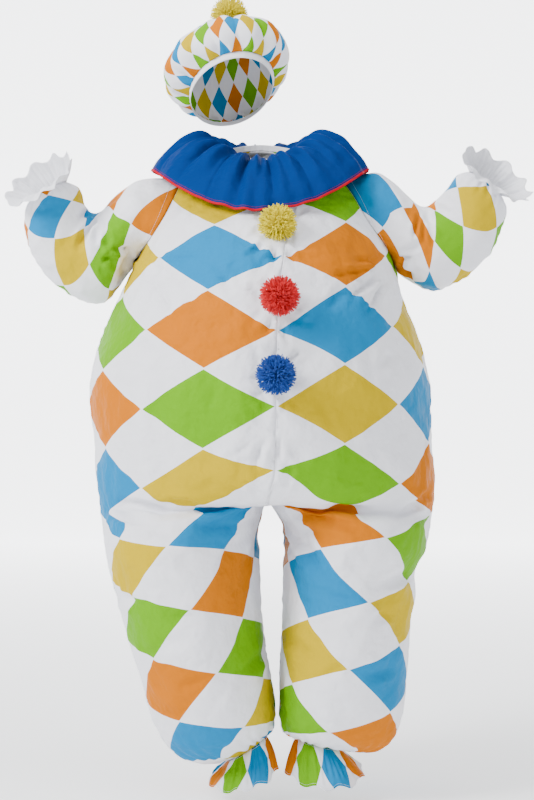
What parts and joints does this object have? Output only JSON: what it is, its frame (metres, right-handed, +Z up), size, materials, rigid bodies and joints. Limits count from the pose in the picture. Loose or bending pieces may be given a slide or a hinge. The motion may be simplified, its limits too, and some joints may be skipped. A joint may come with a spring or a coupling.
{
  "type": "inflatable clown costume",
  "caption": "Puffed one-piece clown suit of diamond-print cloth with a gathered ruff, three pompoms, flared wrists and ankles, and a matching puffed hat.",
  "frame": {"origin": "middle of the neck opening, where the wearer's neck carries the suit", "axes": "X to the wearer's left, Y to the wearer's back, Z up; the front faces -Y"},
  "size_m": [1.1974, 0.8246, 1.8189],
  "materials": {
    "suit_cloth": "thin smooth polyester printed with blue, orange, green and yellow diamonds on white",
    "white_cloth": "thin smooth white polyester",
    "hat_cloth": "thin smooth polyester printed with small diamonds on white",
    "ruff_cloth": "thin smooth deep blue polyester",
    "binding_tape": "narrow woven red tape",
    "yarn_yellow": "soft yellow yarn",
    "yarn_red": "soft red yarn",
    "yarn_blue": "soft blue yarn",
    "zip_coil": "white nylon coil",
    "zip_metal": "dull grey cast metal",
    "guard_plastic": "light grey moulded plastic"
  },
  "bodies": {
    "costume": {"front_left": "suit_cloth", "front_right": "suit_cloth", "back_left": "suit_cloth", "back_right": "suit_cloth", "sleeve_left": "suit_cloth", "sleeve_right": "suit_cloth", "left_ankle_flare": "suit_cloth", "right_ankle_flare": "suit_cloth", "left_wrist_flare": "white_cloth", "right_wrist_flare": "white_cloth", "neck_band": "white_cloth", "ruff": "ruff_cloth", "ruff_binding": "binding_tape", "hat_crown": "hat_cloth", "hat_band": "white_cloth", "pompom_yellow": "yarn_yellow", "pompom_hat": "yarn_yellow", "pompom_red": "yarn_red", "pompom_blue": "yarn_blue", "zip_chain": "zip_coil", "zip_slider": "zip_metal", "air_inlet_guard": "guard_plastic"},
    "pull_tab": {"zip_pull_tab": "zip_metal"}
  },
  "joints": [
    {"name": "pull_tab_hinge", "type": "hinge", "parent": "costume", "child": "pull_tab", "pos_m": [0.01072, 0.25249, -0.12334], "axis": [1, 0, 0], "range_deg": [0, 150]}
  ]
}
